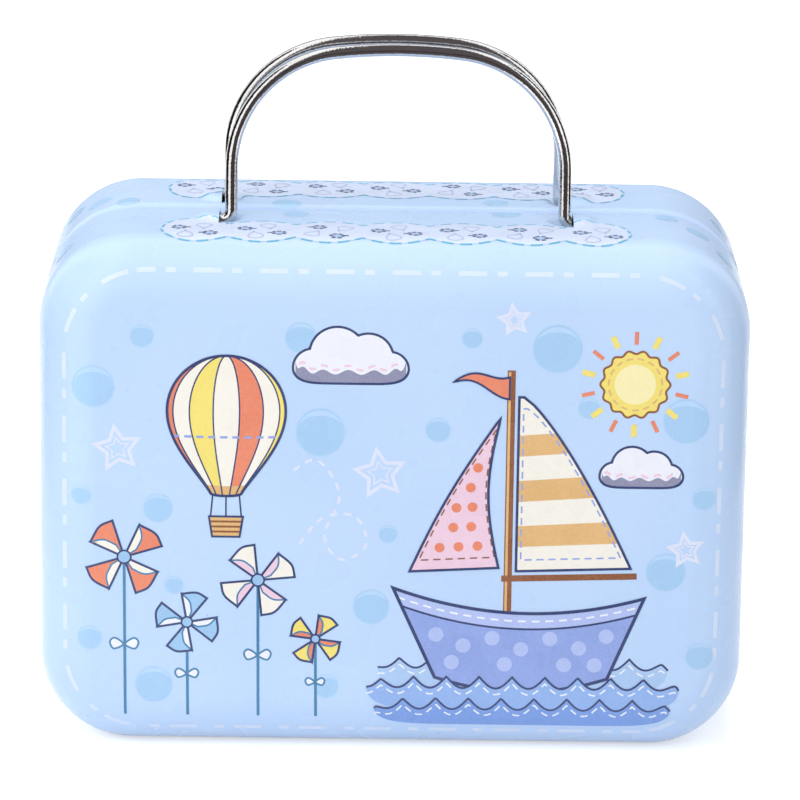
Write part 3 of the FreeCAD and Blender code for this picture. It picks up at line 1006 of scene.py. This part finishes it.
trail = smooth_line([(-11.5, 27.6), (-8.6, 31.0), (-4.6, 31.2), (-3.2, 27.6), (-6.2, 25.6),
                     (-8.4, 28.6), (-6.6, 34.0), (-9.4, 38.4), (-13.0, 36.6)])
trail_dashes = dashes(trail, trail_dash, trail_gap)
trail_half = len(trail_dashes) // 2
printed("stars_and_wind", [
    (star_ink, star_outline(outer_star, outer_line)),
    (star_ink, star_outline(inner_star, inner_line)),
    (star_ink, stroke(trail_dashes[:trail_half], trail_line)),
    (star_ink, stroke(trail_dashes[trail_half:], trail_line)),
], under=bubble_films)

# Bail handles. Round wire bent cold, chromium plated and polished, sprung into the lanced seats.
# The plating has a faint haze and fine pits.
chrome_bright = (226, 225, 224)
chrome_dull = (202, 201, 200)
chrome_rough = (0.05, 0.13)
haze_size, pit_size = 3.0, 0.26
pit_strength, pit_depth = 0.6, 0.03
chrome, chrome_tree, chrome_shader = finish("chrome_wire", Metallic=1.0)
chrome_place = add(chrome_tree, "ShaderNodeTexCoord", {}).outputs["Object"]
chrome_haze = noise(chrome_tree, chrome_place, haze_size)
chrome_pits = noise(chrome_tree, chrome_place, pit_size, detail=1.0)
chrome_colour = mix(chrome_tree, chrome_haze, chrome_bright, chrome_dull)
chrome_tree.links.new(chrome_colour, chrome_shader.inputs["Base Color"])
chrome_tree.links.new(between(chrome_tree, *chrome_rough, chrome_haze), chrome_shader.inputs["Roughness"])
chrome_bump = add(chrome_tree, "ShaderNodeBump",
                  {"Height": chrome_pits, "Strength": pit_strength, "Distance": pit_depth * mm})
chrome_tree.links.new(chrome_bump.outputs[0], chrome_shader.inputs["Normal"])
for wire in ("front_handle", "rear_handle"):
    dress(wire, chrome)

# Studio. A white floor under the case, two softboxes in front, one overhead, and sheets that only show
# in reflections; the camera is a long lens a little above the case.
floor_white = (0.94, 0.94, 0.94, 1)
plain_white = (1, 1, 1, 1)
floor_glow = 0.5
floor_half = 4.0
world_light = 0.54
world_mirrored = 1.4


def seen(tree):
    """1 for camera, glossy and transmission rays, 0 for light that falls on matt surfaces."""
    rays = add(tree, "ShaderNodeLightPath", {})
    first = sums(tree, "MAXIMUM", rays.outputs["Is Camera Ray"], rays.outputs["Is Glossy Ray"])
    return sums(tree, "MAXIMUM", first, rays.outputs["Is Transmission Ray"])


def panel(name, corners, material):
    """A flat sheet between four corners, part of the studio and not of the object."""
    mesh = bpy.data.meshes.new(name)
    mesh.from_pydata([tuple(c) for c in corners], [], [(0, 1, 2, 3)])
    mesh.materials.append(material)
    sheet = bpy.data.objects.new(name, mesh)
    bpy.context.scene.collection.objects.link(sheet)
    return sheet


floor_finish, floor_tree, floor_shader = finish("floor_white", Base_Color=floor_white, Roughness=0.9,
                                                Specular_IOR_Level=0.0, Emission_Color=plain_white)
floor_shine = sums(floor_tree, "MULTIPLY", seen(floor_tree), floor_glow)
floor_tree.links.new(floor_shine, floor_shader.inputs["Emission Strength"])
panel("floor", [(-floor_half, -floor_half, 0), (floor_half, -floor_half, 0),
                (floor_half, floor_half, 0), (-floor_half, floor_half, 0)], floor_finish)

world = bpy.data.worlds.new("studio")
bpy.context.scene.world = world
world.use_nodes = True
world_tree = world.node_tree
world_levels = {0: seen(world_tree), 2: world_light, 3: world_mirrored}
world_level = add(world_tree, "ShaderNodeMix", world_levels).outputs[0]
world_tree.links.new(world_level, world_tree.nodes["Background"].inputs["Strength"])
world_tree.nodes["Background"].inputs["Color"].default_value = plain_white


def around(azimuth, height, distance):
    """A place round the object: azimuth in degrees from the front towards the right."""
    a = math.radians(azimuth)
    return Vector((distance * math.sin(a), -distance * math.cos(a), height))


def softbox(name, place, aim, width, height, brightness):
    """Area light whose sheet has this brightness; its power is brightness times pi times its area."""
    lamp = bpy.data.lights.new(name, "AREA")
    lamp.shape = "RECTANGLE"
    lamp.size = width
    lamp.size_y = height
    lamp.energy = brightness * math.pi * width * height
    box = bpy.data.objects.new(name, lamp)
    bpy.context.scene.collection.objects.link(box)
    box.location = place
    box.rotation_mode = "QUATERNION"
    box.rotation_quaternion = (aim - place).to_track_quat("-Z", "Y")
    box.visible_camera = False
    box.visible_glossy = False


case_middle = Vector((0, 0, case_height / 2 * mm))
left_place = around(azimuth=-52, height=0.24, distance=0.42)
front_place = Vector((-0.10, -0.75, 0.42))
top_place = Vector((-0.05, -0.01, 0.62))
softbox("left_softbox", left_place, case_middle, width=0.30, height=0.40, brightness=1.5)
softbox("front_softbox", front_place, case_middle, width=0.60, height=0.40, brightness=1.04)
softbox("top_softbox", top_place, case_middle, width=0.70, height=0.34, brightness=2.8)

room_dark = (0.12, 0.105, 0.11, 1)
room_back = (0.42, 0.46, 0.54, 1)
flag_dark = (0.02, 0.018, 0.018, 1)
card_brown = (0.07, 0.058, 0.058, 1)
card_y, card_low, card_high, card_left, card_right = -0.12, 0.05, 0.10, -0.04, 0.16
ceiling_z = 0.95
table_height = 0.001


def reflected_only(name, colour, corners):
    """A sheet of this brightness that only shows in reflections and throws no light or shadow."""
    material = finish(name, Base_Color=(0, 0, 0, 1), Roughness=1.0, Emission_Color=colour,
                      Emission_Strength=1.0, Specular_IOR_Level=0.0)[0]
    sheet = panel(name, corners, material)
    sheet.visible_camera = False
    sheet.visible_diffuse = False
    sheet.visible_shadow = False
    sheet.visible_transmission = False


def flag(name, colour, low, high, top, distance):
    """Upright dark sheet from the floor to its top; low and high are its edges' azimuths at both ends."""
    reflected_only(name, colour, [around(low[0], 0, distance), around(low[1], 0, distance),
                                  around(high[1], top, distance), around(high[0], top, distance)])


flag("front_flag", room_dark, low=(-21, 29), high=(-28, 62), top=0.95, distance=0.45)
flag("left_flag", flag_dark, low=(-120, -59), high=(-106, -60), top=0.75, distance=0.5)
flag("right_flag", flag_dark, low=(72, 118), high=(67, 106), top=0.75, distance=0.5)
flag("back_flag", room_back, low=(140, 220), high=(140, 220), top=0.6, distance=0.6)
reflected_only("near_card", card_brown, [(card_left, card_y, card_low), (card_right, card_y, card_low),
                                         (card_right, card_y, card_high), (card_left, card_y, card_high)])
reflected_only("dark_ceiling", room_dark, [(-0.20, -0.48, ceiling_z), (0.36, -0.48, ceiling_z),
                                           (0.12, 0.36, ceiling_z), (-0.07, 0.36, ceiling_z)])


def table(name, colour, left, right, near, far):
    """Dark sheet on the floor between two azimuths and two distances; upright wire mirrors it."""
    reflected_only(name, colour, [around(left, table_height, near), around(right, table_height, near),
                                  around(right, table_height, far), around(left, table_height, far)])


table("front_table", room_dark, left=-20, right=42, near=0.06, far=0.45)
table("left_table", flag_dark, left=-118, right=-60, near=0.16, far=0.5)
table("right_table", flag_dark, left=76, right=120, near=0.16, far=0.5)

camera_aim = Vector((0.8, 0.0, 40.25)) * mm
camera_distance = 639.2 * mm
camera_height_angle = math.radians(15.74)
camera_side_angle = math.radians(0.19)
camera_roll = 0.0140
camera_lens = 226.0
camera_sensor = 36.0
camera = bpy.data.objects.new("camera", bpy.data.cameras.new("camera"))
bpy.context.scene.collection.objects.link(camera)
camera.data.lens = camera_lens
camera.data.sensor_width = camera_sensor
back = Vector((-math.sin(camera_side_angle) * math.cos(camera_height_angle),
               -math.cos(camera_side_angle) * math.cos(camera_height_angle),
               math.sin(camera_height_angle)))
camera.location = camera_aim + back * camera_distance
camera.rotation_mode = "QUATERNION"
tilt = Matrix.Rotation(camera_roll, 4, "Z").to_quaternion()
camera.rotation_quaternion = (-back).to_track_quat("-Z", "Y") @ tilt
bpy.context.scene.camera = camera
bpy.context.scene.view_settings.view_transform = "Standard"
